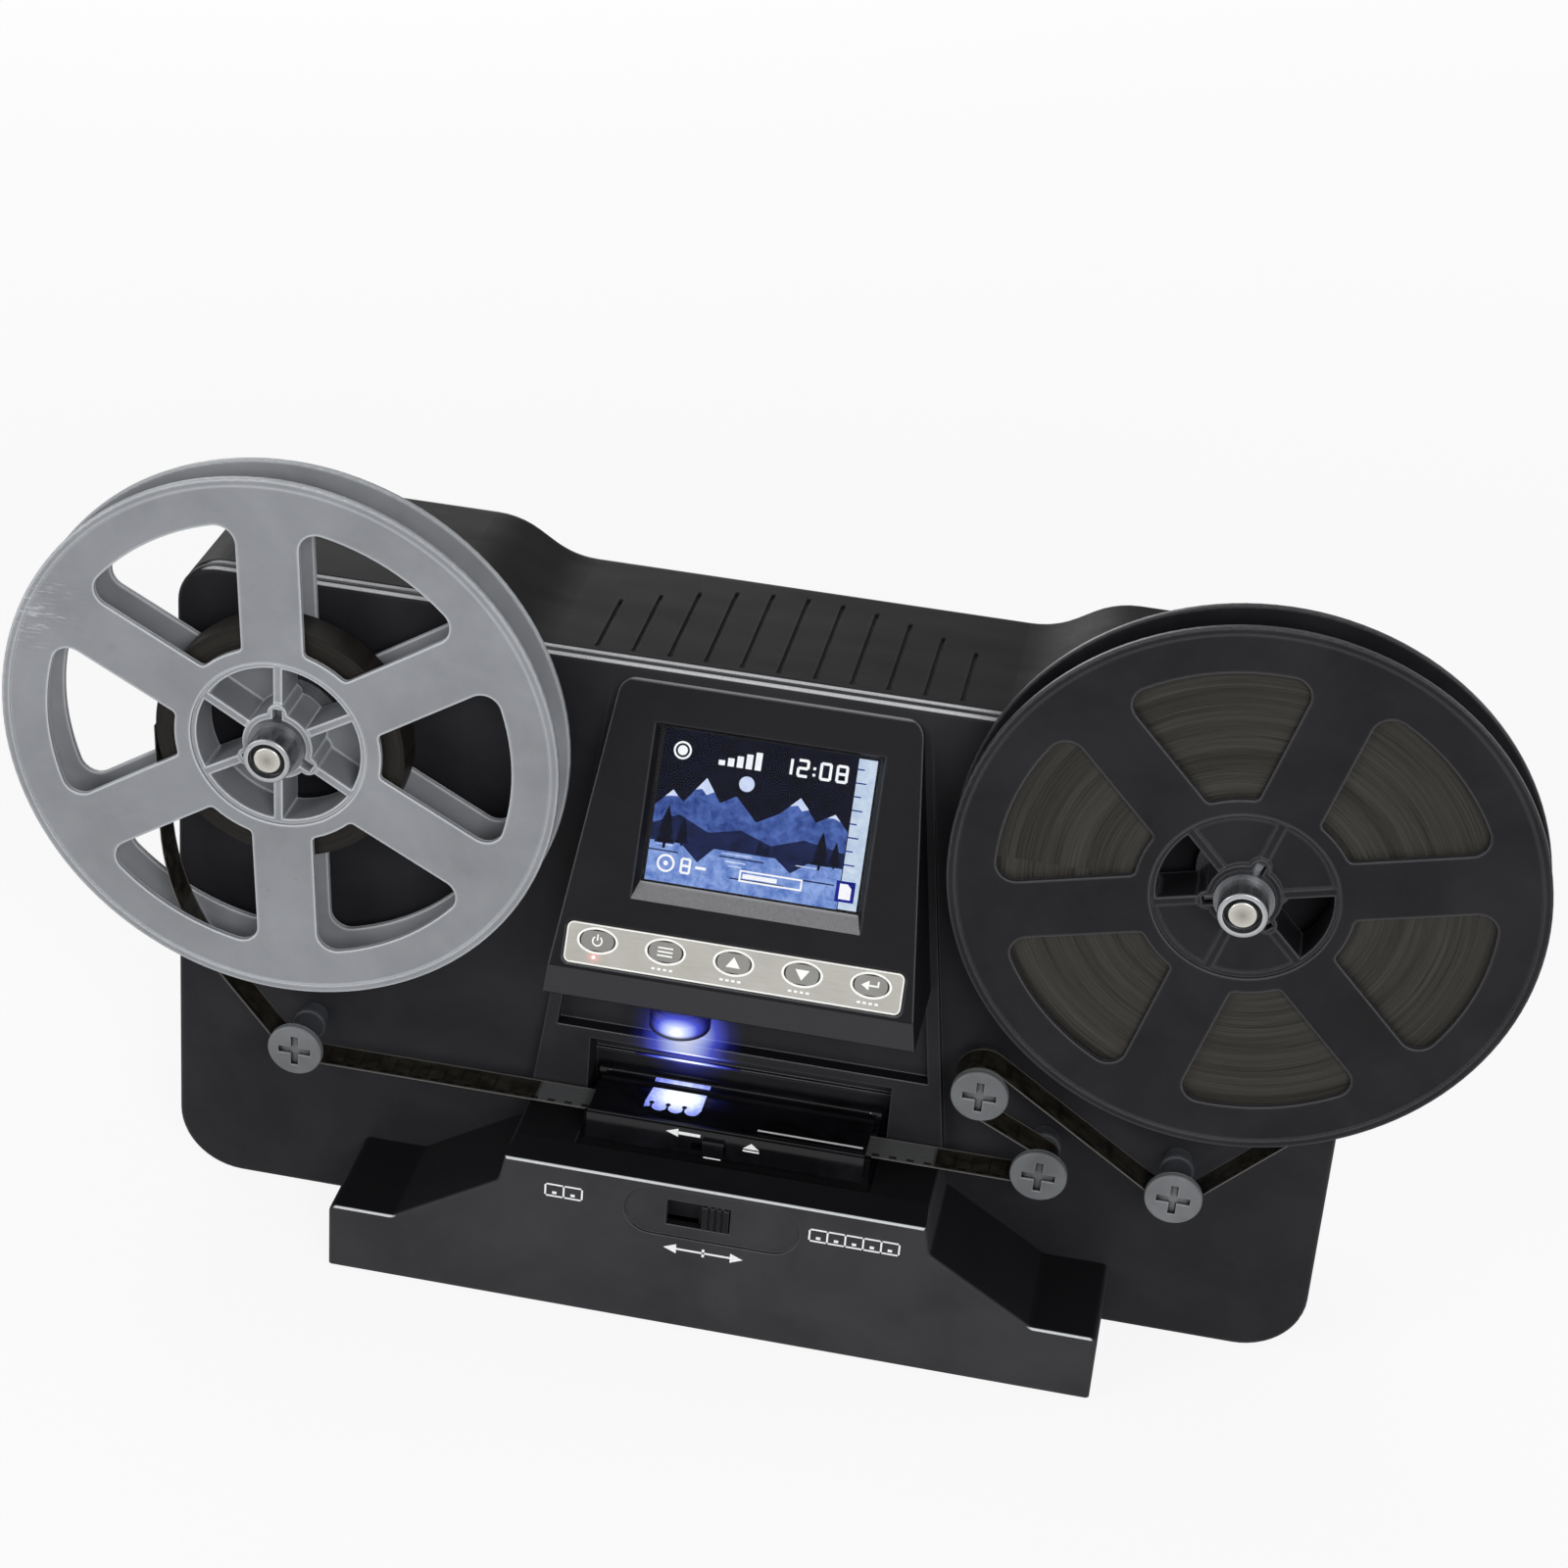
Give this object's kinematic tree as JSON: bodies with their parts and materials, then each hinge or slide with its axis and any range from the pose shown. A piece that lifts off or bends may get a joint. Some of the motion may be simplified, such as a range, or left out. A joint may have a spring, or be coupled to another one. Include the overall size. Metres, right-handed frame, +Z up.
{
  "type": "film_scanner",
  "caption": "Black desktop scanner for 8 mm film reels, with grey and black spools, tilted screen console, key strip and film gate on a stepped foot.",
  "frame": {"origin": "under the middle of the outer box, on the resting plane of the rubber feet", "axes": "+X runs to the right along the body seen from the front, +Y to the back, +Z up"},
  "size_m": [0.3396, 0.0794, 0.195],
  "materials": {
    "black_housing": "fine textured moulded black",
    "dark_plastic": "smooth dark plastic",
    "gloss_black": "polished black",
    "rubber": "soft black rubber",
    "steel": "bright steel",
    "brass": "sintered brass",
    "glass": "clear window",
    "lcd": "lit screen",
    "silver_strip": "warm silver satin",
    "board_green": "solder mask",
    "diffuser": "milky white",
    "jack_black": "black",
    "grey_reel": "light grey moulded",
    "black_reel": "charcoal moulded",
    "film_brown": "dark olive acetate",
    "roller_grey": "mid grey"
  },
  "bodies": {
    "chassis": {"advance_motor": "steel", "base_plate": "dark_plastic", "base_shell": "black_housing", "button_board": "board_green", "button_strip": "silver_strip", "camera_board": "board_green", "console_bezel": "black_housing", "dc_jack": "jack_black", "drag_spring": "steel", "drive_belt": "rubber", "film_strip": "film_brown", "front_housing": "black_housing", "gate_bed": "dark_plastic", "hinge_pin": "steel", "housing_screws": "steel", "lcd_module": "lcd", "led_board": "board_green", "lens_barrel": "gloss_black", "light_diffuser": "diffuser", "main_board": "board_green", "motor_bracket": "steel", "rear_cover": "black_housing", "roller_axles": "roller_grey", "rubber_feet": "rubber", "screen_window": "glass", "sd_slot": "steel", "select_switch": "dark_plastic", "socket_board": "board_green", "supply_bushing": "brass", "takeup_bushing": "brass", "takeup_motor": "steel", "usb_port": "steel"},
    "supply_reel": {"supply_spindle": "steel", "supply_front_flange": "grey_reel", "supply_rear_flange": "grey_reel", "supply_hub": "grey_reel", "supply_film": "film_brown", "drag_washer": "dark_plastic"},
    "takeup_reel": {"takeup_spindle": "steel", "takeup_front_flange": "black_reel", "takeup_rear_flange": "black_reel", "takeup_hub": "black_reel", "takeup_film": "film_brown", "takeup_pulley": "dark_plastic"},
    "motor_rotor": {"motor_pulley": "dark_plastic"},
    "crank": {"advance_cam": "brass"},
    "claw": {"film_claw": "steel"},
    "door": {"gate_door": "gloss_black"},
    "latch": {"gate_latch": "gloss_black"},
    "selector": {"select_knob": "dark_plastic"},
    "card": {"sd_card": "dark_plastic"},
    "key_power": {"button_power": "silver_strip"},
    "key_menu": {"button_menu": "silver_strip"},
    "key_up": {"button_up": "silver_strip"},
    "key_down": {"button_down": "silver_strip"},
    "key_enter": {"button_enter": "silver_strip"},
    "guide_left": {"roller_left": "roller_grey"},
    "guide_inner": {"roller_inner": "roller_grey"},
    "guide_high": {"roller_high": "roller_grey"},
    "guide_outer": {"roller_outer": "roller_grey"}
  },
  "joints": [
    {"name": "supply_spin", "type": "hinge", "parent": "chassis", "child": "supply_reel", "pos_m": [-0.1063, -0.0113, 0.1315], "axis": [0, 1, 0], "continuous": true},
    {"name": "takeup_spin", "type": "hinge", "parent": "chassis", "child": "takeup_reel", "pos_m": [0.1063, -0.0113, 0.1315], "axis": [0, 1, 0], "continuous": true},
    {"name": "motor_spin", "type": "hinge", "parent": "chassis", "child": "motor_rotor", "pos_m": [0.1063, 0.0017, 0.0755], "axis": [0, 1, 0], "continuous": true},
    {"name": "crank_spin", "type": "hinge", "parent": "chassis", "child": "crank", "pos_m": [0.018, -0.024, 0.022], "axis": [0, 1, 0], "continuous": true},
    {"name": "claw_slide", "type": "slide", "parent": "chassis", "child": "claw", "axis": [1, 0, 0], "range_m": [-0.0021, 0.0021]},
    {"name": "door_open", "type": "hinge", "parent": "chassis", "child": "door", "pos_m": [0, -0.0099, 0.04875], "axis": [-1, 0, 0], "range_deg": [0, 48]},
    {"name": "latch_slide", "type": "slide", "parent": "door", "child": "latch", "axis": [-1, 0, 0], "range_m": [0, 0.0024]},
    {"name": "select_slide", "type": "slide", "parent": "chassis", "child": "selector", "axis": [-1, 0, 0], "range_m": [0, 0.008]},
    {"name": "card_slide", "type": "slide", "parent": "chassis", "child": "card", "axis": [0, 1, 0], "range_m": [0, 0.012]},
    {"name": "press_power", "type": "slide", "parent": "chassis", "child": "key_power", "axis": [0, 0.9026, -0.4305], "range_m": [0, 0.0006], "stiffness_N_per_m": 400},
    {"name": "press_menu", "type": "slide", "parent": "chassis", "child": "key_menu", "axis": [0, 0.9026, -0.4305], "range_m": [0, 0.0006], "stiffness_N_per_m": 400},
    {"name": "press_up", "type": "slide", "parent": "chassis", "child": "key_up", "axis": [0, 0.9026, -0.4305], "range_m": [0, 0.0006], "stiffness_N_per_m": 400},
    {"name": "press_down", "type": "slide", "parent": "chassis", "child": "key_down", "axis": [0, 0.9026, -0.4305], "range_m": [0, 0.0006], "stiffness_N_per_m": 400},
    {"name": "press_enter", "type": "slide", "parent": "chassis", "child": "key_enter", "axis": [0, 0.9026, -0.4305], "range_m": [0, 0.0006], "stiffness_N_per_m": 400},
    {"name": "roll_left", "type": "hinge", "parent": "chassis", "child": "guide_left", "pos_m": [-0.1025, -0.0273, 0.0514], "axis": [0, 1, 0], "continuous": true},
    {"name": "roll_inner", "type": "hinge", "parent": "chassis", "child": "guide_inner", "pos_m": [0.0715, -0.0273, 0.0514], "axis": [0, 1, 0], "continuous": true},
    {"name": "roll_high", "type": "hinge", "parent": "chassis", "child": "guide_high", "pos_m": [0.0561, -0.0273, 0.0702], "axis": [0, 1, 0], "continuous": true},
    {"name": "roll_outer", "type": "hinge", "parent": "chassis", "child": "guide_outer", "pos_m": [0.102, -0.0273, 0.0514], "axis": [0, 1, 0], "continuous": true}
  ],
  "couplings": [
    {"joint": "motor_spin", "follows": "takeup_spin", "ratio": 4.5}
  ]
}
